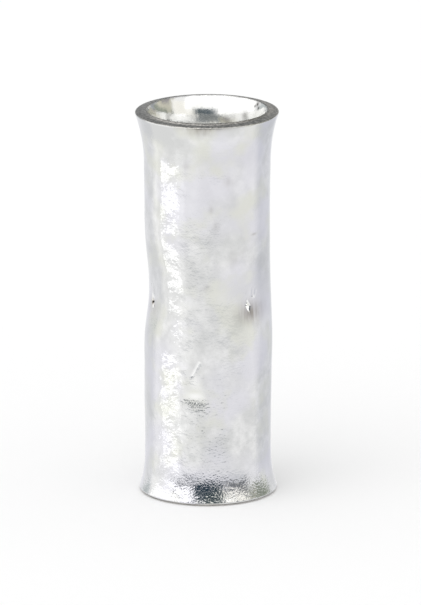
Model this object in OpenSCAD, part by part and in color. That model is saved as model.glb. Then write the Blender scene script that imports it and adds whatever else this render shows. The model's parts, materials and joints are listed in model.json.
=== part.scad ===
// Bare butt splice: one seamless, tinned copper tube with belled mouths and a punched centre stop.
// It stands on its lower mouth. The tube's axis is Z, and Z is 0 at the lower lip.

/* [Tube] */
// Overall length, lip to lip
splice_len = 32.8; // [30:0.1:45]
// Diameter of the straight bore that takes the wire
bore_d = 8.6; // [7.6:0.1:11]
// Wall thickness of the straight tube
wall = 1; // [0.8:0.05:1.4]

/* [Belled mouths] */
// How far the upper bell opens past the tube, on the radius
upper_bell_rise = 0.7; // [0.5:0.05:0.9]
// Length over which the upper bell opens
upper_bell_run = 4.4; // [3:0.1:5]
// How far the lower bell opens past the tube, on the radius
lower_bell_rise = 0.44; // [0.36:0.02:0.8]
// Length over which the lower bell opens
lower_bell_run = 3.2; // [2.5:0.1:5]
// Wall thickness at the lips, which belling has thinned
lip_wall = 0.95; // [0.75:0.01:1.2]
// Width of the flat land at each lip's inner edge, which the splice stands on
lip_land = 0.12; // [0.1:0.01:0.35]
// How far each lip's face leans outwards past its land, in degrees
lip_lean = 13; // [4:1:18]
// Rounding of each lip's outer edge
lip_round = 0.15; // [0.1:0.01:0.25]
// How the mouths open inside: 2 is an even curve, and more keeps the opening near the lip
mouth_power = 3; // [2:0.5:4]

/* [Centre stop] */
// Number of stops punched around the middle
stop_count = 3; // [2:1:3]
// Direction of the first stop, turning from +X towards +Y
stop_angle = -44; // [-180:1:180]
// How far the stops sit above mid-length
stop_offset = 0.3; // [-0.5:0.1:0.5]
// How far each stop stands into the bore
stop_reach = 1.25; // [1:0.05:1.6]
// Radius of the rounded nose that each stop shows inside
stop_nose_r = 1.3; // [1.2:0.05:1.8]
// Width of the pointed punch mark, around the tube
punch_w = 0.9; // [0.6:0.05:1.3]
// Height of the pointed punch mark, along the tube
punch_h = 1.6; // [1:0.05:2]

/* [Dents around the stops] */
// How deep the punch drew in the tube around each stop
dent_depth = 0.46; // [0.2:0.02:0.5]
// How far around the tube each dent goes, either side of its stop, in degrees
dent_half_angle = 48; // [40:1:52]
// Radius of the dent's hollow along the tube
dent_hollow_r = 36; // [26:1:44]
// How far each dent's middle sits above its stop
dent_lift = 0.9; // [0:0.1:1.5]
// How much the displaced metal thickens the wall around the stops
stop_upset = 0.1; // [0.05:0.01:0.2]

/* [Hidden] */
$fn = 96;
// Straight steps along each bell's curve, each lip's rounding and the swell of the bore
bell_steps = 12;
round_steps = 5;
swell_steps = 12;
// Length of swelled bore kept beyond the backs of the dents
swell_margin = 0.2;

bore_r = bore_d / 2;
tube_r = bore_r + wall;
stop_z = splice_len / 2 + stop_offset;
dent_z = stop_z + dent_lift;

// Each dent is the waist of a ring: wider than the tube, and set back to its far side,
// so that it meets the tube's skin at the dent's half angle
dent_floor = tube_r - dent_depth;
ring_set_back = (tube_r * tube_r - dent_floor * dent_floor)
    / (2 * (dent_floor - tube_r * cos(dent_half_angle)));
ring_pitch_r = dent_floor + ring_set_back + dent_hollow_r;
back_hollow_r = dent_hollow_r + wall;
swell_half = sqrt(2 * back_hollow_r * dent_depth) + swell_margin;

// The punch mark is as deep below the dent's floor as the nose is tall above the dent's back
nose_centre = bore_r - stop_reach + stop_nose_r;
punch_depth = stop_reach - dent_depth;
punch_tip = dent_floor - punch_depth;
// The punch is drawn on past the tube's skin, so that it cuts clean out of it
punch_back = tube_r + dent_depth;
punch_grow = (punch_back - punch_tip) / punch_depth;

function reversed(points) = [for (i = [len(points) - 1 : -1 : 0]) points[i]];

// Outer line of a bell as [radius, height above where it starts to open].
// An arc leaves the tube at a tangent and meets the lip's rounding at a tangent, and the rounding
// runs on into the leaning face of the lip, which ends at the flat land.
function bell_outside(rise, run) =
    let (
        lip_r = tube_r + rise,
        land_r = lip_r - lip_wall + lip_land,
        round_r = lip_r - lip_round,
        round_z = run - (lip_round + (round_r - land_r) * sin(lip_lean)) / cos(lip_lean),
        side_step = round_r - tube_r,
        arc_r = (side_step * side_step + round_z * round_z - lip_round * lip_round) / (2 * rise),
        sweep = asin(round_z / (arc_r + lip_round)),
        turn = sweep + 90 - lip_lean
    )
    concat(
        [for (i = [0 : bell_steps])
            let (a = sweep * i / bell_steps)
            [tube_r + arc_r * (1 - cos(a)), arc_r * sin(a)]],
        [for (i = [1 : round_steps])
            let (a = turn * i / round_steps - sweep)
            [round_r + lip_round * cos(a), round_z + lip_round * sin(a)]],
        [[land_r, run]]
    );

// Inner line of a bell, a curve that leaves the bore at a tangent and ends at the lip
function bell_inside(rise, run) =
    let (inner_rise = tube_r + rise - lip_wall - bore_r)
    [for (i = [0 : bell_steps])
        let (t = i / bell_steps)
        [bore_r + inner_rise * pow(t, mouth_power), run * t]];

// Inner line of the swell behind the dents, from its upper end down
function swell_inside() =
    [for (i = [0 : swell_steps])
        let (z = swell_half * (1 - 2 * i / swell_steps))
        [bore_r - stop_upset * (1 + cos(180 * z / swell_half)) / 2, dent_z + z]];

function set_on_top(points) = [for (p = points) [p[0], splice_len - upper_bell_run + p[1]]];
function set_at_foot(points) = [for (p = points) [p[0], lower_bell_run - p[1]]];

// Half section of the tube: up the outside, over the upper lip and down the bore
module tube_section() {
    polygon(concat(
        reversed(set_at_foot(bell_outside(lower_bell_rise, lower_bell_run))),
        set_on_top(bell_outside(upper_bell_rise, upper_bell_run)),
        reversed(set_on_top(bell_inside(upper_bell_rise, upper_bell_run))),
        swell_inside(),
        set_at_foot(bell_inside(lower_bell_rise, lower_bell_run))
    ));
}

// Places its children at a height, once for each stop, with X pointing outwards
module at_each_stop(z) {
    for (i = [0 : stop_count - 1])
        rotate([0, 0, stop_angle + 360 * i / stop_count])
            translate([0, 0, z])
                children();
}

module dent_ring(hollow_r) {
    translate([-ring_set_back, 0, 0])
        rotate_extrude()
            translate([ring_pitch_r, 0]) circle(r = hollow_r);
}

// Back of a dent, kept inside the tube's own wall and bore
module dent_back() {
    intersection() {
        dent_ring(back_hollow_r);
        translate([0, 0, -swell_half]) cylinder(r = bore_r + wall / 2, h = 2 * swell_half);
    }
}

// Rounded nose that the wire's end comes up against
module stop_nose() {
    translate([nose_centre, 0, 0]) sphere(r = stop_nose_r);
}

// Four-sided point of the punch, with its tip towards the tube's axis
module punch_point() {
    half_w = punch_grow * punch_w / 2;
    half_h = punch_grow * punch_h / 2;
    polyhedron(
        points = [
            [punch_tip, 0, 0],
            [punch_back, half_w, 0],
            [punch_back, 0, half_h],
            [punch_back, -half_w, 0],
            [punch_back, 0, -half_h]
        ],
        faces = [[0, 1, 2], [0, 2, 3], [0, 3, 4], [0, 4, 1], [4, 3, 2, 1]]
    );
}

module splice_barrel() {
    color("gainsboro")
    difference() {
        union() {
            rotate_extrude() tube_section();
            at_each_stop(dent_z) dent_back();
            at_each_stop(stop_z) stop_nose();
        }
        at_each_stop(dent_z) dent_ring(dent_hollow_r);
        at_each_stop(stop_z) punch_point();
    }
}

splice_barrel();
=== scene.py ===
import json
import math

import bmesh
import bpy
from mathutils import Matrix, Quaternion, Vector, noise


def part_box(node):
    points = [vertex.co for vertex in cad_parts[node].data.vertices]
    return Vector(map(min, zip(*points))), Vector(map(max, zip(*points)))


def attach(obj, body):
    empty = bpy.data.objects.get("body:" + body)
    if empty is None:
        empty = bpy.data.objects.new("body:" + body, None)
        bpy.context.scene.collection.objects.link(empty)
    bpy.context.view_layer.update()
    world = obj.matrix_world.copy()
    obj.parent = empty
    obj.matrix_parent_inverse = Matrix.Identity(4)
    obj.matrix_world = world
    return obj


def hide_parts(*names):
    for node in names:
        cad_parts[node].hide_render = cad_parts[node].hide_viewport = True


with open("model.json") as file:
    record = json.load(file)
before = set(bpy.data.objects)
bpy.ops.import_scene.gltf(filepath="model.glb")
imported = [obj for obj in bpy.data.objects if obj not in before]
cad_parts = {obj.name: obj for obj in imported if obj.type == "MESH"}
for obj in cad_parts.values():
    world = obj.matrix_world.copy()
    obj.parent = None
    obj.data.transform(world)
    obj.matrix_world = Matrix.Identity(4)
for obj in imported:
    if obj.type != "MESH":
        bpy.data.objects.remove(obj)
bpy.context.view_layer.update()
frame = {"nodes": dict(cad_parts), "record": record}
mm = 0.001
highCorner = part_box("splice_barrel")[1]
mounts = {mount["name"]: mount for mount in frame["record"]["mounts"]}
print("frame loaded:", ", ".join(frame["nodes"]))


def mix(a, b, share):
    return a + (b - a) * share


def smoothStep(low, high, value):
    t = min(max((value - low) / (high - low), 0.0), 1.0)
    return t * t * (3 - 2 * t)


def bell(x):
    return math.exp(-x * x)


# The tube: its section, as the solid has it, and how fine the mesh is
tube = {
    "length": highCorner.z,
    "boreR": mounts["upper_socket"]["dims"]["r_mm"] * mm,
    "wall": 1.0 * mm,
    "upperLipR": highCorner.x + 0.035 * mm,    # the rounding takes the excess off again
    "upperBellRun": 4.4 * mm,
    "lowerLipR": 5.775 * mm,
    "lowerBellRun": 3.2 * mm,
    "lipWall": 0.985 * mm,
    "lipLand": 0.12 * mm,
    "lipLean": math.radians(13),
    "lipRound": (0.15 * mm, 0.07 * mm),    # the upper lip's outer edge is the rounder one
    "innerRound": 0.035 * mm,
    "roundSegments": (4, 3, 2),    # of the upper and lower outer edges and the inner edges
    "flareShare": 0.17,   # the middle of the wall moves out by this share of the way along a bell
    "endDepth": 0.4 * mm,     # the cut ends' faces lie this near to the ends
    "endFacing": (0.93, 0.6),    # and face this much up or down, at the lower and the upper end
    "spinSteps": 220,
    "skinCuts": 156,      # rings on the straight outside
    "boreCuts": 66,       # rings on the straight bore
    "bellCuts": 24,
    "mouthCuts": 18,
    "lipCuts": 4,
    "mouthPower": 3,      # the mouths open inside mostly near the lip
}

# The three punched stops, the dents around them and the marks that the punch left
stops = {
    "count": 3,
    "angle": math.radians(-44),
    "height": tube["length"] / 2 + 0.3 * mm,
    # The dent drawn in around each mark: depth, lift above the mark and how far it runs up and down
    "dents": [(0.26, 0.9, 6.3, 8.0), (0.46, 0.9, 6.3, 4.9), (0.56, 0.6, 6.6, 5.0)],
    "dentSpread": 1.05,
    "dentFade": 1.2,
    "waist": 0.06 * mm,       # above the marks the whole tube is drawn in a little
    "waistHeight": 23.5 * mm,
    "waistHalf": 3.5 * mm,
    "lobeRise": 0.13 * mm,    # the tube stands out between the dents, a little lower down
    "lobeHeight": 13.0 * mm,
    "lobeHalf": 4.2 * mm,
    "reach": 1.25 * mm,
    "noseR": 1.3 * mm,
    "noseSlope": math.radians(58),    # the nose's foot is rounded where it would be steeper
    # Each pointed mark, in mm: side, up, half width, half height and depth
    "punches": [
        (-0.34, 0.1, 0.3, 0.64, 0.66), (0.0, 0.0, 0.45, 0.75, 0.79), (0.0, 0.0, 0.45, 0.75, 0.69),
    ],
    "punchLean": 0.2,
    "punchCurve": 1.5,        # 1 is a straight-sided point, and more is a sharper one
    "punchEdge": (1.1, 0.85),     # the fresh colour, fresh metal with painted highlight, fades out over these shares of a mark's size
    "markTurn": math.radians(40),     # marks are only looked for this far around from a stop
    "markReach": 3.5 * mm,            # and this far up or down
    "shadeReach": 4.0 * mm,           # their shades reach further
    "burr": 0.02 * mm,
    "burrPlace": 1.15,
    "burrWidth": 0.3,
    "hollow": 0.05 * mm,      # small round hollow that the punch leaves below its mark
    "hollowDrop": 0.45 * mm,
    "hollowHalfW": 1.15 * mm,
    "hollowHalfH": 1.25 * mm,
    "scores": [(-0.42, 0.62, -0.52, 1.25), (0.1, 0.85, 0.22, 1.5), (0.42, 0.7, 0.62, 1.3)],
    "scoreDepth": 0.03 * mm,
    "scoreWidth": 0.06 * mm,
    # For each mark, dark spots of painted shade in the pit as strength, side, up and half sizes, and burrs
    # as side, up, size, rise, which also get the fresh colour as a painted glint
    "pitShades": [
        [(0.6, -0.02, -0.3, 0.09, 0.6), (0.55, 0.23, -0.35, 0.08, 0.55)],
        [],
        [(1.0, -0.16, -0.18, 0.3, 0.28), (1.0, 0.3, -0.36, 0.28, 0.12)],
    ],
    "glintBurrs": [[(0.35, 0.75, 0.14, 0.03)], [], [(0.45, 0.4, 0.2, 0.06)]],
    # Painted brownish shade under each mark, as strength, side, up and half sizes
    "shadesBelow": [
        (0.74, 0.0, -0.5, 1.5, 0.9), (0.4, 0.1, -0.5, 1.2, 0.85), (0.3, 0.1, -0.5, 1.2, 0.85),
    ],
    "fineReach": 1.5 * mm,    # the mesh is finer this near to a mark
    "noseReach": 2.0 * mm,    # and to the nose behind it
    "fineCuts": 2,
}

# A plain slanted tool stroke and the shallow dent under it, on the front of the tube; the stroke gets the
# fresh colour as a painted highlight
struck = {
    "angle": math.radians(-101),
    "strokeHeight": 11.75 * mm,
    "strokeHalf": 0.62 * mm,
    "strokeLean": math.radians(28),
    "strokeWidth": 0.16 * mm,
    "strokeDepth": 0.045 * mm,
    "dentAngle": math.radians(-101.5),
    "dentHeight": 9.1 * mm,
    "dentHalfW": 0.8 * mm,
    "dentHalfH": 0.6 * mm,
    "dentDepth": 0.14 * mm,
    # Painted highlights, bright spots of the fresh colour, as strength, side, height and half sizes
    "highlightSpots": [(0.7, 0.0, 10.6, 0.45, 0.7), (0.9, -0.1, 9.4, 0.7, 0.35)],
    # Painted shade under the upper lip and faint darker spots elsewhere, in the same terms
    "shadesAndSpots": [
        (0.6, 1.1, 32.55, 2.0, 0.22), (0.4, 0.5, 32.15, 1.1, 0.3), (0.22, 2.75, 27.8, 0.45, 0.5),
        (0.28, 1.3, 25.4, 0.2, 0.35), (0.4, 5.4, 22.95, 0.3, 0.1), (0.2, 1.7, 24.0, 0.3, 0.4),
        (0.18, -0.75, 29.1, 0.35, 0.3), (0.2, 1.0, 18.8, 0.3, 0.3), (0.15, 3.3, 21.0, 0.5, 0.5),
    ],
}

# How strong the plate's ripples are up the tube, at the lower bell and around the struck dent
ripples = {
    "upper": (0.3, 0.25),      # first the ripples that run round the tube, then the fine speckle
    "lower": (1.8, 0.7),
    "bell": (0.4, 1.2),
    "struck": (1.4, 1.0),
    "lowFrom": (8 * mm, 13 * mm),       # the lower ripples give way to the upper ones here
    "bellFrom": (4.2 * mm, 1.8 * mm),   # and to the bell's here
    "struckHalfW": 1.4 * mm,
    "struckHalfH": 1.1 * mm,
    "struckDrop": 0.3 * mm,
    "calmTurn": (math.radians(-82), math.radians(-55)),    # the plate is smoother round to the right
    "calmShare": 0.5,
    "dimpledAngle": math.radians(-124),    # the left of the front is the most dimpled
    "dimpledHalf": math.radians(20),
    "dimpledCalm": 0.6,
    "smoothShare": 0.4,        # the waves' share away from there
    "lowWave": 0.9,            # and what is added to them low down
    "puckerFrom": (15 * mm, 12 * mm),
}

# Small faults of the drawn tube and of its cut ends
faults = {
    "drift": 0.03 * mm,
    "driftScale": 0.11 / mm,
    "sway": 0.03 * mm,
    "swayScale": 0.3 / mm,
    "peel": 0.007 * mm,
    "peelScale": 0.85 / mm,
    "dimple": 0.05 * mm,
    "dimpleScale": 0.6 / mm,
    "pucker": 0.04 * mm,      # smaller dimples, only low down
    "puckerScale": 1.5 / mm,
    "lipGrain": 0.03 * mm,
    "lipScale": 1.9 / mm,
    "lipDepth": 0.16 * mm,
    "lipFiner": 2.7,          # the second, finer grain of the cut ends
    "lipOutside": 0.35,       # the outer edges are less ragged
    "lipSink": 0.4,
    "endCalm": 2 * mm,        # the tube's wander fades out this near to an end
    "nickReach": 0.8 * mm,
    # Dark nicks and spots inside the mouth, as direction, depth, size and strength
    "nicks": [(31, 0.25, 0.16, 1.0), (27, 0.5, 0.12, 1.0), (34, 0.45, 0.1, 1.0),
              (46, 1.4, 0.33, 0.55), (136, 1.4, 0.3, 0.4)],
}


def bellRadius(startR, lipR, run, rise):
    arc = (run * run + (lipR - startR) ** 2) / (2 * (lipR - startR))
    return startR + arc - math.sqrt(max(arc * arc - rise * rise, 0.0))


def isOutside(radius, height):
    flare = max(height - (tube["length"] - tube["upperBellRun"]), tube["lowerBellRun"] - height, 0)
    return radius > tube["boreR"] + tube["wall"] / 2 + flare * tube["flareShare"]


def makeSection(bm):
    tubeR = tube["boreR"] + tube["wall"]
    top = tube["length"]
    drop = (tube["lipWall"] - tube["lipLand"]) * math.tan(tube["lipLean"])
    upperIn = tube["upperLipR"] - tube["lipWall"]
    lowerIn = tube["lowerLipR"] - tube["lipWall"]
    corners = [
        (lowerIn + tube["lipLand"], 0),
        (tube["lowerLipR"], drop),
        (tubeR, tube["lowerBellRun"]),
        (tubeR, top - tube["upperBellRun"]),
        (tube["upperLipR"], top - drop),
        (upperIn + tube["lipLand"], top),
        (upperIn, top),
        (tube["boreR"], top - tube["upperBellRun"]),
        (tube["boreR"], tube["lowerBellRun"]),
        (lowerIn, 0),
    ]
    verts = [bm.verts.new((r, 0, z)) for r, z in corners]
    cuts = [
        tube["lipCuts"], tube["bellCuts"], tube["skinCuts"], tube["bellCuts"], tube["lipCuts"],
        1, tube["mouthCuts"], tube["boreCuts"], tube["mouthCuts"], 1,
    ]
    edges = [bm.edges.new((a, b)) for a, b in zip(verts, verts[1:] + verts[:1])]
    for edge, count in zip(edges, cuts):
        bmesh.ops.subdivide_edges(bm, edges=[edge], cuts=count)
    # The bells' straight runs are moved onto their curves
    for vert in bm.verts:
        upRise = vert.co.z - (top - tube["upperBellRun"])
        lowRise = tube["lowerBellRun"] - vert.co.z
        outside = isOutside(vert.co.x, vert.co.z)
        startR = tubeR if outside else tube["boreR"]
        short = drop if outside else 0
        for rise, fullRun, lipR in (
                (upRise, tube["upperBellRun"], tube["upperLipR"] if outside else upperIn),
                (lowRise, tube["lowerBellRun"], tube["lowerLipR"] if outside else lowerIn)):
            run = fullRun - short
            if 0 < rise < run - 1e-7 and outside:
                vert.co.x = bellRadius(startR, lipR, run, rise)
            elif 0 < rise < run - 1e-7:
                vert.co.x = startR + (lipR - startR) * (rise / run) ** tube["mouthPower"]
    return drop


def ringEdges(bm, radius, height):
    def onRing(vert):
        return abs(vert.co.z - height) < 1e-6 and abs(vert.co.xy.length - radius) < 1e-6
    return [edge for edge in bm.edges if all(onRing(vert) for vert in edge.verts)]


def roundLips(bm, drop):
    top = tube["length"]
    upper = ringEdges(bm, tube["upperLipR"], top - drop)
    lower = ringEdges(bm, tube["lowerLipR"], drop)
    inner = ringEdges(bm, tube["upperLipR"] - tube["lipWall"], top)
    inner += ringEdges(bm, tube["lowerLipR"] - tube["lipWall"], 0)
    print("lip edges:", len(upper), len(lower), len(inner))
    offsets = (*tube["lipRound"], tube["innerRound"])
    for edges, offset, segments in zip((upper, lower, inner), offsets, tube["roundSegments"]):
        bmesh.ops.bevel(bm, geom=edges, offset=offset, offset_type="OFFSET", segments=segments,
                        profile=0.5, affect="EDGES", material=-1)


def stopAngles():
    return [stops["angle"] + 2 * math.pi * i / stops["count"] for i in range(stops["count"])]


def turnedFrom(angle, other):
    return (angle - other + math.pi) % (2 * math.pi) - math.pi


def onTube(radius, angle, height):
    return Vector((radius * math.cos(angle), radius * math.sin(angle), height))


def refineMarks(bm):
    tubeR = tube["boreR"] + tube["wall"]
    mouthR = tube["upperLipR"] - tube["lipWall"]
    mouthStart = tube["length"] - tube["upperBellRun"]
    marks = [onTube(tubeR, angle, stops["height"]) for angle in stopAngles()]
    marks.append(onTube(tubeR, struck["angle"], struck["strokeHeight"]))
    marks.append(onTube(tubeR, struck["dentAngle"], struck["dentHeight"]))
    noses = [onTube(tube["boreR"], angle, stops["height"]) for angle in stopAngles()]
    nicks = [onTube(mouthR, math.radians(degrees), tube["length"] - depth * mm)
             for degrees, depth, size, strength in faults["nicks"]]
    near = set()
    for vert in bm.verts:
        if isOutside(vert.co.xy.length, vert.co.z):
            places, reach = marks, stops["fineReach"]
        elif vert.co.z < mouthStart:
            places, reach = noses, stops["noseReach"]
        else:
            places, reach = nicks, faults["nickReach"]
        if any((vert.co - place).length < reach for place in places):
            near.add(vert)
    edges = [edge for edge in bm.edges if all(vert in near for vert in edge.verts)]
    bmesh.ops.subdivide_edges(bm, edges=edges, cuts=stops["fineCuts"], use_grid_fill=True)


def lineGap(side, up, line):
    x0, y0, x1, y1 = (v * mm for v in line)
    dx, dy = x1 - x0, y1 - y0
    along = min(max(((side - x0) * dx + (up - y0) * dy) / (dx * dx + dy * dy), 0.0), 1.0)
    return math.hypot(side - x0 - along * dx, up - y0 - along * dy)


def punchSpread(side, up, punch):
    middleSide, middleUp, halfW, halfH = punch[:4]
    rise = up / mm - middleUp
    return abs(side / mm - middleSide + rise * stops["punchLean"]) / halfW + abs(rise) / halfH


def spotAt(side, up, spot):
    strength, spotSide, spotUp, halfW, halfH = spot
    return strength * bell(math.hypot((side / mm - spotSide) / halfW, (up / mm - spotUp) / halfH))


def noseRadius(radius, gap):
    tip = tube["boreR"] - stops["reach"]
    noseR, slope = stops["noseR"], stops["noseSlope"]
    cap = noseR * math.sin(slope)
    if gap < cap:
        return min(radius, tip + noseR - math.sqrt(noseR * noseR - gap * gap))
    # Past its steepest, the nose runs out into the bore
    left = radius - tip - noseR * (1 - math.cos(slope))
    run = 2 * left / math.tan(slope)
    if left <= 0 or gap > cap + run:
        return radius
    return radius - left * (1 - (gap - cap) / run) ** 2


def noseNearness(angle, height):
    up = height - stops["height"]
    sides = [tube["boreR"] * turnedFrom(angle, stopAngle) for stopAngle in stopAngles()]
    gap = min(math.hypot(up, side) for side in sides)
    return smoothStep(stops["noseReach"], stops["noseR"] * math.sin(stops["noseSlope"]), gap)


def pressStops(radius, angle, height, outside):
    three = math.cos(stops["count"] * turnedFrom(angle, stops["angle"]))
    radius -= stops["waist"] * bell((height - stops["waistHeight"]) / stops["waistHalf"])
    lobe = bell((height - stops["lobeHeight"]) / stops["lobeHalf"])
    radius += lobe * stops["lobeRise"] * (1 - three) / 2
    up = height - stops["height"]
    for stopAngle, dent, punch, glintBurrs in zip(
            stopAngles(), stops["dents"], stops["punches"], stops["glintBurrs"]):
        turn = turnedFrom(angle, stopAngle)
        depth, lift, upRun, downRun = (v * mm for v in dent)
        along = (up - lift) / (upRun if up > lift else downRun)
        if abs(along) < 1 and abs(turn) < math.pi / stops["count"]:
            fade = (0.5 + 0.5 * math.cos(math.pi * along)) ** stops["dentFade"]
            radius -= depth * fade * ((1 + three) / 2) ** stops["dentSpread"]
        if abs(turn) > stops["markTurn"] or abs(up) > stops["markReach"]:
            continue
        side = radius * turn
        if outside:
            spread = punchSpread(side, up, punch)
            lower = (up + stops["hollowDrop"]) / stops["hollowHalfH"]
            radius -= stops["hollow"] * bell(math.hypot(side / stops["hollowHalfW"], lower))
            radius += stops["burr"] * bell((spread - stops["burrPlace"]) / stops["burrWidth"])
            for burrSide, burrUp, size, rise in glintBurrs:
                radius += spotAt(side, up, (rise * mm, burrSide, burrUp, size, size))
            for line in stops["scores"]:
                radius -= stops["scoreDepth"] * bell(lineGap(side, up, line) / stops["scoreWidth"])
            if spread < 1:
                radius -= punch[4] * mm * (1 - spread) ** stops["punchCurve"]
        else:
            radius = noseRadius(radius, math.hypot(up, tube["boreR"] * math.sin(turn)))
    return radius


def strokeGap(radius, angle, height):
    side = radius * turnedFrom(angle, struck["angle"])
    up = height - struck["strokeHeight"]
    lean = struck["strokeLean"]
    along = up * math.cos(lean) + side * math.sin(lean)
    across = side * math.cos(lean) - up * math.sin(lean)
    past = max(abs(along) - struck["strokeHalf"], 0)
    return math.hypot(across, past)


def pressStruck(radius, angle, height):
    radius -= struck["strokeDepth"] * bell(strokeGap(radius, angle, height) / struck["strokeWidth"])
    side = radius * turnedFrom(angle, struck["dentAngle"])
    down = height - struck["dentHeight"]
    radius -= struck["dentDepth"] * bell(math.hypot(side / struck["dentHalfW"], down / struck["dentHalfH"]))
    return radius


def shapeTube(bm):
    top = tube["length"]
    fresh = bm.verts.layers.float.new("fresh")
    stainAndShade = bm.verts.layers.float.new("stainAndShade")
    rippled = bm.verts.layers.float.new("rippled")
    speckled = bm.verts.layers.float.new("speckled")
    waved = bm.verts.layers.float.new("waved")
    for vert in bm.verts:
        radius = vert.co.xy.length
        angle = math.atan2(vert.co.y, vert.co.x)
        height = vert.co.z
        outside = isOutside(radius, height)
        ends = smoothStep(0, faults["endCalm"], height) * smoothStep(0, faults["endCalm"], top - height)
        for name in ("drift", "sway", "peel"):
            radius += noise.noise(vert.co * faults[name + "Scale"]) * faults[name] * ends
        radius = pressStops(radius, angle, height, outside)
        if outside:
            dimpled = dimpledShare(angle)
            low = smoothStep(*ripples["puckerFrom"], height)
            dent = noise.noise(vert.co * faults["dimpleScale"]) * faults["dimple"]
            dent += noise.noise(vert.co * faults["puckerScale"]) * faults["pucker"] * low
            radius += dent * ends * dimpled
            vert[waved] = mix(ripples["smoothShare"], 1.0 + low * ripples["lowWave"], dimpled)
            radius = pressStruck(radius, angle, height)
            # Fresh colour, partly painted highlight, and painted shade at the marks
            vert[fresh], vert[stainAndShade] = shadeMarks(radius, angle, height)
            vert[rippled], vert[speckled] = rippleAmounts(radius, angle, height)
        else:
            vert[stainAndShade] = shadeNicks(radius, angle, height)
            vert[fresh] = noseNearness(angle, height)
        # The cut ends are a little ragged, always into the tube's length
        endGap = min(height, top - height)
        ragged = smoothStep(faults["lipDepth"], 0, endGap)
        if ragged > 0:
            rough = noise.noise(vert.co * faults["lipScale"])
            rough += 0.5 * noise.noise(vert.co * faults["lipScale"] * faults["lipFiner"])
            radius += rough * faults["lipGrain"] * ragged * (faults["lipOutside"] if outside else 1.0)
            sink = faults["lipGrain"] * faults["lipSink"] * ragged * (0.75 + 0.5 * rough)
            vert.co.z += sink if height < top / 2 else -sink
        vert.co.x = radius * math.cos(angle)
        vert.co.y = radius * math.sin(angle)


def shadeMarks(radius, angle, height):
    freshAndHighlight, shade = 0.0, 0.0
    up = height - stops["height"]
    for stopAngle, punch, shadeBelow, pitShades, glintBurrs in zip(
            stopAngles(), stops["punches"], stops["shadesBelow"], stops["pitShades"], stops["glintBurrs"]):
        side = radius * turnedFrom(angle, stopAngle)
        if max(abs(side), abs(up)) > stops["shadeReach"]:
            continue
        # Fresh colour in the pits and on the burrs: fresh metal, with painted highlight
        freshAndHighlight = max(freshAndHighlight, smoothStep(*stops["punchEdge"], punchSpread(side, up, punch)))
        for burrSide, burrUp, size, rise in glintBurrs:
            freshAndHighlight = max(freshAndHighlight, spotAt(side, up, (1.0, burrSide, burrUp, size, size)))
        # Painted shade below each mark, kept off its fresh colour
        shade = max(shade, spotAt(side, up, shadeBelow) * (1 - freshAndHighlight))
        # Painted shade in the pits
        shade = max([shade] + [spotAt(side, up, dark) for dark in pitShades])
    # The stroke and the bright spots get the fresh colour as painted highlight
    side = radius * turnedFrom(angle, struck["angle"])
    freshAndHighlight = max(freshAndHighlight, bell(strokeGap(radius, angle, height) / struck["strokeWidth"]))
    freshAndHighlight = max([freshAndHighlight] + [spotAt(side, height, highlightSpot) for highlightSpot in struck["highlightSpots"]])
    # Painted shade under the upper lip and faint darker spots elsewhere
    shade += sum(spotAt(side, height, darkening) for darkening in struck["shadesAndSpots"])
    return freshAndHighlight, min(shade, 1.0)


def shadeNicks(radius, angle, height):
    shade = 0.0
    for degrees, depth, size, strength in faults["nicks"]:
        side = radius * turnedFrom(angle, math.radians(degrees))
        down = tube["length"] - height - depth * mm
        shade += strength * bell(math.hypot(side, down) / (size * mm))
    return min(shade, 1.0)


def dimpledShare(angle):
    return bell(turnedFrom(angle, ripples["dimpledAngle"]) / ripples["dimpledHalf"])


def rippleAmounts(radius, angle, height):
    higher = smoothStep(*ripples["lowFrom"], height)
    flared = smoothStep(*ripples["bellFrom"], height)
    side = radius * turnedFrom(angle, struck["dentAngle"])
    up = height - struck["dentHeight"] + ripples["struckDrop"]
    atDent = bell(math.hypot(side / ripples["struckHalfW"], up / ripples["struckHalfH"]))
    calm = 1 - ripples["calmShare"] * smoothStep(*ripples["calmTurn"], angle)
    calm *= 1 - ripples["dimpledCalm"] * dimpledShare(angle)
    amounts = []
    for upper, lower, flare, dent in zip(*(ripples[name] for name in ("upper", "lower", "bell", "struck"))):
        amounts.append(mix(mix(lower, upper, higher) * calm, flare, flared) + dent * atDent)
    return amounts


def makeBarrel():
    bm = bmesh.new()
    drop = makeSection(bm)
    bmesh.ops.spin(bm, geom=bm.verts[:] + bm.edges[:], cent=(0, 0, 0), axis=(0, 0, 1),
                   angle=2 * math.pi, steps=tube["spinSteps"], use_merge=True)
    bmesh.ops.remove_doubles(bm, verts=bm.verts, dist=1e-7)
    bmesh.ops.recalc_face_normals(bm, faces=bm.faces)
    roundLips(bm, drop)
    refineMarks(bm)
    bm.normal_update()
    for face in bm.faces:
        face.smooth = True
        centre = face.calc_center_median()
        outwards = face.normal.dot(Vector((centre.x, centre.y, 0)).normalized())
        nearEnd = min(centre.z, tube["length"] - centre.z) < tube["endDepth"]
        upper = centre.z > tube["length"] / 2
        endwards = face.normal.z if upper else -face.normal.z
        # The cut ends are the second material, and the bore is the third
        if nearEnd and endwards > tube["endFacing"][upper]:
            face.material_index = 1
        elif outwards < 0:
            face.material_index = 2
    shapeTube(bm)
    mesh = bpy.data.meshes.new("tinnedBarrel")
    bm.to_mesh(mesh)
    bm.free()
    barrel = bpy.data.objects.new("tinnedBarrel", mesh)
    bpy.context.scene.collection.objects.link(barrel)
    triangles = sum(len(polygon.vertices) - 2 for polygon in mesh.polygons)
    print("barrel mesh:", len(mesh.vertices), "points,", triangles, "triangles")
    return barrel


# Materials: small helpers that keep the node code short
def addNode(tree, kind, inputs=None, **settings):
    node = tree.nodes.new(kind)
    for name, value in settings.items():
        setattr(node, name, value)
    for name, value in (inputs or {}).items():
        node.inputs[name].default_value = value
    return node


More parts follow.
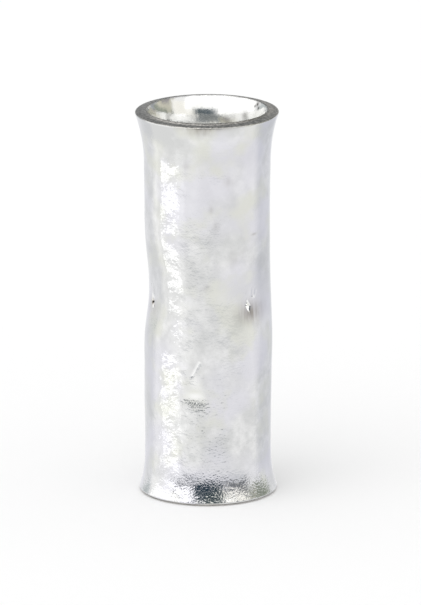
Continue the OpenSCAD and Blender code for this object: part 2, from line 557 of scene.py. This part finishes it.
def millimetres(tree, stretch=(1, 1, 1), shift=(0, 0, 0)):
    where = addNode(tree, "ShaderNodeTexCoord")
    mapping = addNode(tree, "ShaderNodeMapping", {"Location": shift, "Scale": [s / mm for s in stretch]})
    tree.links.new(where.outputs["Object"], mapping.inputs["Vector"])
    return mapping.outputs["Vector"]


def addNoise(tree, place, scale, detail=2.0, roughness=0.5):
    texture = addNode(tree, "ShaderNodeTexNoise", {"Scale": scale, "Detail": detail, "Roughness": roughness})
    tree.links.new(place, texture.inputs["Vector"])
    return texture.outputs["Fac"]


def addRange(tree, value, fromLow, fromHigh, toLow, toHigh):
    node = addNode(tree, "ShaderNodeMapRange", {
        "From Min": fromLow, "From Max": fromHigh, "To Min": toLow, "To Max": toHigh})
    tree.links.new(value, node.inputs["Value"])
    return node.outputs["Result"]


def addMath(tree, operation, first, second):
    node = addNode(tree, "ShaderNodeMath", operation=operation)
    tree.links.new(first, node.inputs[0])
    if isinstance(second, bpy.types.NodeSocket):
        tree.links.new(second, node.inputs[1])
    else:
        node.inputs[1].default_value = second
    return node.outputs["Value"]


def addMix(tree, share, first, second):
    node = addNode(tree, "ShaderNodeMix", data_type="RGBA")
    tree.links.new(share, node.inputs["Factor"])
    for socket, colour in (("A", first), ("B", second)):
        target = [s for s in node.inputs if s.name == socket and s.type == "RGBA"][0]
        if isinstance(colour, bpy.types.NodeSocket):
            tree.links.new(colour, target)
        else:
            target.default_value = (*colour, 1)
    return [s for s in node.outputs if s.type == "RGBA"][0]


def addBump(tree, height, depth, below=None):
    node = addNode(tree, "ShaderNodeBump", {"Strength": 1.0, "Distance": depth})
    tree.links.new(height, node.inputs["Height"])
    if below:
        tree.links.new(below, node.inputs["Normal"])
    return node.outputs["Normal"]


def addAttribute(tree, name):
    return addNode(tree, "ShaderNodeAttribute", attribute_name=name).outputs["Fac"]


def newMetal(name, **inputs):
    material = bpy.data.materials.new(name)
    material.use_nodes = True
    shader = material.node_tree.nodes["Principled BSDF"]
    shader.inputs["Metallic"].default_value = 1.0
    for socket, value in inputs.items():
        shader.inputs[socket].default_value = value
    return material, material.node_tree, shader


# Dull tin plate, cloudy and rippled, most of all low down where the tube was flared
tinSkin = {
    "pale": (0.85, 0.85, 0.845),
    "grey": (0.67, 0.675, 0.67),
    "cool": (0.775, 0.77, 0.82),
    "olive": (0.76, 0.765, 0.70),
    # Fresh metal in the marks, also the painted highlight on the pits, burrs, stroke and bright spots
    "fresh": (0.97, 0.97, 0.96),
    # Brown of the painted shade in and under the marks and under the upper lip, and of faint darker spots
    "brown": (0.19, 0.16, 0.12),
    # Near black of the deepest painted shade in the pits
    "deepShade": (0.012, 0.013, 0.015),
    "deepShadeFrom": (0.8, 0.97),      # the strongest painted shade turns near black
    "roughness": (0.035, 0.075),
    # Each noise is scale, detail and roughness, and each range is where it starts and is full
    "cloudNoise": (0.3, 5, 0.62),
    "cloudRange": (0.42, 0.64),
    # Grey mottles, cool clouds and olive blotches: colour, shift, noise, range and most
    "tints": [
        ("grey", (5, 1, 8), (1.1, 3, 0.6), (0.42, 0.66), 0.75),
        ("cool", (7, 3, 0), (0.22, 1), (0.45, 0.6), 0.75),
        ("olive", (2, 9, 4), (0.35, 3), (0.52, 0.68), 0.8),
    ],
    "streakStretch": (1, 1, 0.15),
    "streakNoise": (3.2, 2),
    "streakRange": (0.3, 0.65, 0.55, 1),
    "patchNoise": (0.6, 3),
    "patchRange": (0.3, 0.7),
    "unevenRange": (0.35, 0.65, 0.6, 1.4),
    # Waves, ripples round the tube, draw lines and speckle: attribute, stretch, noise and depth
    "bumps": [
        ("waved", (1, 1, 1), (2.6, 2), 0.016 * mm),
        ("rippled", (1, 1, 2.4), (2.1, 3), 0.015 * mm),
        (None, (1, 1, 0.05), (5.0, 2), 0.003 * mm),
        ("speckled", (1, 1, 1), (6.5, 1), 0.0165 * mm),
    ],
}


def makeTinSkin():
    material, tree, shader = newMetal("tinSkin")
    place = millimetres(tree)
    cloud = addRange(tree, addNoise(tree, place, *tinSkin["cloudNoise"]), *tinSkin["cloudRange"], 0, 1)
    colour = addMix(tree, cloud, tinSkin["pale"], tinSkin["grey"])
    for tint, shift, texture, limits, most in tinSkin["tints"]:
        spread = addNoise(tree, millimetres(tree, shift=shift), *texture)
        colour = addMix(tree, addRange(tree, spread, *limits, 0, most), colour, tinSkin[tint])
    # Painted brownish shade in and under the punch marks, in upright streaks, and under the upper lip, near
    # black where strongest; and the fresh colour inside the marks, fresh metal with painted highlight
    streak = addNoise(tree, millimetres(tree, tinSkin["streakStretch"]), *tinSkin["streakNoise"])
    streak = addRange(tree, streak, *tinSkin["streakRange"])
    stainAndShade = addAttribute(tree, "stainAndShade")
    shade = addMath(tree, "MULTIPLY", stainAndShade, streak)
    colour = addMix(tree, addAttribute(tree, "fresh"), colour, tinSkin["fresh"])
    colour = addMix(tree, shade, colour, tinSkin["brown"])
    colour = addMix(tree, addRange(tree, stainAndShade, *tinSkin["deepShadeFrom"], 0, 1), colour, tinSkin["deepShade"])
    tree.links.new(colour, shader.inputs["Base Color"])
    patch = addNoise(tree, place, *tinSkin["patchNoise"])
    roughness = addRange(tree, patch, *tinSkin["patchRange"], *tinSkin["roughness"])
    tree.links.new(roughness, shader.inputs["Roughness"])
    uneven = addRange(tree, patch, *tinSkin["unevenRange"])
    normal = None
    for attribute, stretch, texture, depth in tinSkin["bumps"]:
        share = uneven
        if attribute:
            share = addMath(tree, "MULTIPLY", addAttribute(tree, attribute), uneven)
        height = addNoise(tree, millimetres(tree, stretch), *texture)
        centred = addRange(tree, height, 0, 1, -0.5, 0.5)
        normal = addBump(tree, addMath(tree, "MULTIPLY", centred, share), depth, normal)
    tree.links.new(normal, shader.inputs["Normal"])
    return material


# The sawn ends: darker bare metal with a fine grain
cutLip = {
    "dark": (0.24, 0.235, 0.225),
    "pale": (0.56, 0.54, 0.51),
    "roughness": 0.42,
    "speckNoise": (4.0, 4, 0.7),
    "speckRange": (0.38, 0.64),
    "grainNoise": (6.0, 3, 0.6),
    "grainDepth": 0.009 * mm,
}


def makeCutLip():
    material, tree, shader = newMetal("cutLip", Roughness=cutLip["roughness"])
    place = millimetres(tree)
    speck = addRange(tree, addNoise(tree, place, *cutLip["speckNoise"]), *cutLip["speckRange"], 0, 1)
    colour = addMix(tree, speck, cutLip["dark"], cutLip["pale"])
    tree.links.new(colour, shader.inputs["Base Color"])
    grain = addNoise(tree, place, *cutLip["grainNoise"])
    tree.links.new(addBump(tree, grain, cutLip["grainDepth"]), shader.inputs["Normal"])
    return material


# The bore: the same plate, smoother, with faint draw lines
tinBore = {
    "pale": (0.86, 0.86, 0.85),
    "grey": (0.76, 0.76, 0.74),
    "roughness": (0.10, 0.16),
    "noseRoughness": 0.3,     # added where the metal was stretched over the noses
    "nick": (0.06, 0.055, 0.05),
    "cloudNoise": (0.5, 3, 0.6),
    "cloudRange": (0.4, 0.66),
    "patchNoise": (0.8, 2),
    "patchRange": (0.3, 0.7),
    "waveStretch": (1, 1, 0.5),
    "waveNoise": (1.5, 2),
    "waveDepth": 0.02 * mm,
    "grainNoise": (4.5, 2),
    "grainDepth": 0.003 * mm,
}


def makeTinBore():
    material, tree, shader = newMetal("tinBore")
    place = millimetres(tree)
    cloud = addRange(tree, addNoise(tree, place, *tinBore["cloudNoise"]), *tinBore["cloudRange"], 0, 1)
    colour = addMix(tree, cloud, tinBore["pale"], tinBore["grey"])
    colour = addMix(tree, addAttribute(tree, "stainAndShade"), colour, tinBore["nick"])
    tree.links.new(colour, shader.inputs["Base Color"])
    patch = addNoise(tree, place, *tinBore["patchNoise"])
    patch = addRange(tree, patch, *tinBore["patchRange"], *tinBore["roughness"])
    # In the bore, the fresh attribute marks the noses
    dulled = addMath(tree, "MULTIPLY", addAttribute(tree, "fresh"), tinBore["noseRoughness"])
    tree.links.new(addMath(tree, "ADD", patch, dulled), shader.inputs["Roughness"])
    wave = addNoise(tree, millimetres(tree, tinBore["waveStretch"]), *tinBore["waveNoise"])
    grain = addNoise(tree, place, *tinBore["grainNoise"])
    normal = addBump(tree, grain, tinBore["grainDepth"], addBump(tree, wave, tinBore["waveDepth"]))
    tree.links.new(normal, shader.inputs["Normal"])
    return material


barrel = makeBarrel()
for make in (makeTinSkin, makeCutLip, makeTinBore):
    barrel.data.materials.append(make())
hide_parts("splice_barrel")
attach(barrel, "root")
print("barrel finished")

# The studio: a white floor, white surroundings and soft-edged screens that only the metal sees
studio = {
    "floorColour": (0.93, 0.93, 0.93),
    "floorRoughness": 0.9,
    "floorHalf": 1.5,
    "fillStrength": 0.95,
    "sunStrength": 0.5,
    "sunWidth": math.radians(50),
    "sunTurn": (math.radians(32), 0, math.radians(-40)),
    "screenFar": 1.2,
    "creaseScale": 5.0,         # a creased screen has thin clear folds
    "creaseRange": (0.0, 0.06),
    "screenStep": 0.01,         # each screen stands a little behind the one before
    "screenCuts": (48, 24),
}

# Where the screens stand: degrees round from the viewer's side, right is plus, and degrees up.
# Soft is how many degrees the top and bottom fade over, and the sides too unless side is given.
screens = [
    {"name": "darkOpening", "turn": (-34, 34), "rise": (-6, 14), "soft": 6, "side": 18, "far": 0.2,
     "colour": (0.018, 0.042, 0.062)},
    {"name": "darkHead", "turn": (-25, 34), "rise": (8, 25), "soft": 7, "side": 16, "far": 0.2,
     "colour": (0.04, 0.07, 0.09)},
    {"name": "horizonRight", "turn": (24, 76), "rise": (-6.5, 6), "soft": 4, "far": 0.3,
     "colour": (0.2, 0.21, 0.22)},
    {"name": "horizon", "turn": (-68, 30), "rise": (-3.8, 5), "soft": 3, "side": 16,
     "colour": (0.12, 0.13, 0.15)},
    {"name": "paleHorizon", "turn": (-62, 90), "rise": (-13.5, -1), "soft": 6, "side": 30,
     "colour": (0.72, 0.73, 0.75)},
    {"name": "brightBar", "turn": (-95, -55), "rise": (-20, -13), "soft": 1.5, "creased": True,
     "colour": (1.6, 1.6, 1.6)},
    {"name": "shoulder", "turn": (-66, -38), "rise": (-32, -8), "soft": 8, "colour": (1.1, 1.1, 1.1)},
    {"name": "brightEdge", "turn": (-113, -101), "rise": (-30, -4), "soft": 4, "colour": (1.05, 1.05, 1.05)},
    {"name": "dimLeft", "turn": (-165, -118), "rise": (-7.5, 12), "soft": 4, "colour": (0.58, 0.62, 0.63)},
    {"name": "brightLeft", "turn": (-115, -22), "rise": (-4, 50), "soft": 5, "colour": (1.35, 1.35, 1.35)},
    {"name": "brightHigh", "turn": (-30, 50), "rise": (14, 60), "soft": 4, "colour": (1.35, 1.35, 1.35)},
    {"name": "darkGap", "turn": (70, 86), "rise": (1, 15), "soft": 5, "colour": (0.28, 0.31, 0.28)},
    {"name": "greyPatch", "turn": (80, 106), "rise": (17, 44), "soft": 7, "colour": (0.42, 0.40, 0.41)},
    {"name": "greenRight", "turn": (86, 130), "rise": (-5, 16), "soft": 6, "colour": (0.30, 0.33, 0.28)},
    {"name": "creamRight", "turn": (22, 76), "rise": (0, 30), "soft": 5, "colour": (1.1, 1.08, 1.02)},
    {"name": "warmRight", "turn": (74, 122), "rise": (0, 40), "soft": 5, "colour": (0.68, 0.66, 0.56)},
    {"name": "paleBehind", "turn": (138, 178), "rise": (2, 25), "soft": 7, "side": 5,
     "colour": (0.72, 0.71, 0.68)},
    {"name": "darkAbove", "turn": (96, 232), "rise": (26, 75), "soft": 8, "side": 22,
     "colour": (0.30, 0.32, 0.33)},
    {"name": "darkBehind", "turn": (112, 232), "rise": (0, 40), "soft": 8, "colour": (0.38, 0.40, 0.42)},
    {"name": "coolRight", "turn": (90, 179), "rise": (-60, 4), "soft": 25, "colour": (0.72, 0.73, 0.77)},
    {"name": "paleRight", "turn": (-30, 125), "rise": (-45, -3), "soft": 25, "colour": (0.90, 0.90, 0.91)},
    {"name": "coolLeft", "turn": (-179, -112), "rise": (-60, 20), "soft": 12, "colour": (0.87, 0.875, 0.90)},
]


def makeFloor():
    bm = bmesh.new()
    bmesh.ops.create_grid(bm, x_segments=1, y_segments=1, size=studio["floorHalf"])
    mesh = bpy.data.meshes.new("floor")
    bm.to_mesh(mesh)
    bm.free()
    floor = bpy.data.objects.new("floor", mesh)
    bpy.context.scene.collection.objects.link(floor)
    material = bpy.data.materials.new("floorPaper")
    material.use_nodes = True
    shader = material.node_tree.nodes["Principled BSDF"]
    shader.inputs["Base Color"].default_value = (*studio["floorColour"], 1)
    shader.inputs["Roughness"].default_value = studio["floorRoughness"]
    shader.inputs["Specular IOR Level"].default_value = 0.0
    mesh.materials.append(material)
    floor.visible_glossy = False


def glowMaterial(screen):
    material = bpy.data.materials.new(screen["name"])
    material.use_nodes = True
    tree = material.node_tree
    tree.nodes.clear()
    glow = addNode(tree, "ShaderNodeEmission", {"Color": (*screen["colour"], 1), "Strength": 1.0})
    clear = addNode(tree, "ShaderNodeBsdfTransparent")
    blend = addNode(tree, "ShaderNodeMixShader")
    output = addNode(tree, "ShaderNodeOutputMaterial")
    cover = addAttribute(tree, "cover")
    if screen.get("creased"):
        where = addNode(tree, "ShaderNodeTexCoord").outputs["Object"]
        wave = addMath(tree, "SUBTRACT", addNoise(tree, where, studio["creaseScale"], 1), 0.5)
        fold = addRange(tree, addMath(tree, "ABSOLUTE", wave, 0), *studio["creaseRange"], 0, 1)
        cover = addMath(tree, "MULTIPLY", cover, fold)
    tree.links.new(cover, blend.inputs["Fac"])
    tree.links.new(clear.outputs["BSDF"], blend.inputs[1])
    tree.links.new(glow.outputs["Emission"], blend.inputs[2])
    tree.links.new(blend.outputs["Shader"], output.inputs["Surface"])
    return material


def makeScreen(screen, far):
    bm = bmesh.new()
    across, up = studio["screenCuts"]
    bmesh.ops.create_grid(bm, x_segments=across, y_segments=up, size=1)
    cover = bm.verts.layers.float.new("cover")
    for vert in bm.verts:
        across, up = (vert.co.x + 1) / 2, (vert.co.y + 1) / 2
        turn = mix(*screen["turn"], across)
        rise = mix(*screen["rise"], up)
        sideGap = min(across, 1 - across) * (screen["turn"][1] - screen["turn"][0])
        endGap = min(up, 1 - up) * (screen["rise"][1] - screen["rise"][0])
        side = smoothStep(0, screen.get("side", screen["soft"]), sideGap)
        vert[cover] = side * smoothStep(0, screen["soft"], endGap)
        turn, rise = math.radians(turn), math.radians(rise)
        vert.co = (far * math.sin(turn) * math.cos(rise), -far * math.cos(turn) * math.cos(rise),
                   tube["length"] / 2 + far * math.sin(rise))
    mesh = bpy.data.meshes.new(screen["name"])
    bm.to_mesh(mesh)
    bm.free()
    panel = bpy.data.objects.new(screen["name"], mesh)
    bpy.context.scene.collection.objects.link(panel)
    mesh.materials.append(glowMaterial(screen))
    panel.visible_camera = False
    panel.visible_diffuse = False
    panel.visible_shadow = False


def makeWorld():
    world = bpy.data.worlds.new("studio")
    bpy.context.scene.world = world
    world.use_nodes = True
    tree = world.node_tree
    background = tree.nodes["Background"]
    background.inputs["Color"].default_value = (1, 1, 1, 1)
    rays = addNode(tree, "ShaderNodeLightPath")
    seen = addMath(tree, "MAXIMUM", rays.outputs["Is Camera Ray"], rays.outputs["Is Glossy Ray"])
    seen = addMath(tree, "MAXIMUM", seen, rays.outputs["Is Transmission Ray"])
    tree.links.new(addRange(tree, seen, 0, 1, studio["fillStrength"], 1.0), background.inputs["Strength"])


def makeSun():
    lamp = bpy.data.lights.new("softSun", "SUN")
    lamp.energy = studio["sunStrength"]
    lamp.angle = studio["sunWidth"]
    sun = bpy.data.objects.new("softSun", lamp)
    sun.rotation_euler = studio["sunTurn"]
    bpy.context.scene.collection.objects.link(sun)


makeFloor()
makeWorld()
makeSun()
for place, screen in enumerate(screens):
    makeScreen(screen, screen.get("far", studio["screenFar"]) + place * studio["screenStep"])
print("studio ready")

# The camera, fitted to the photo: where it looks, how far off it stands and its scale there
view = {
    "aim": Vector((0.24 * mm, 0, 16.115 * mm)),
    "elevation": math.radians(14.96),
    "roll": math.radians(-0.2),
    "distance": 784.6 * mm,
    "pixelsPerMm": 11.95,
    "pictureHeight": 605,
    "sensor": 36.0,
}


def makeCamera():
    lens = bpy.data.cameras.new("camera")
    lens.sensor_fit = "VERTICAL"
    lens.sensor_height = view["sensor"]
    lens.lens = view["pixelsPerMm"] * view["distance"] / mm * view["sensor"] / view["pictureHeight"]
    lens.clip_start = 0.01
    camera = bpy.data.objects.new("camera", lens)
    away = Vector((0, -math.cos(view["elevation"]), math.sin(view["elevation"])))
    camera.location = view["aim"] + away * view["distance"]
    turn = (-away).to_track_quat("-Z", "Y") @ Quaternion((0, 0, 1), view["roll"])
    camera.rotation_euler = turn.to_euler()
    bpy.context.scene.collection.objects.link(camera)
    bpy.context.scene.camera = camera


makeCamera()
bpy.context.scene.view_settings.view_transform = "Standard"
print("camera ready")
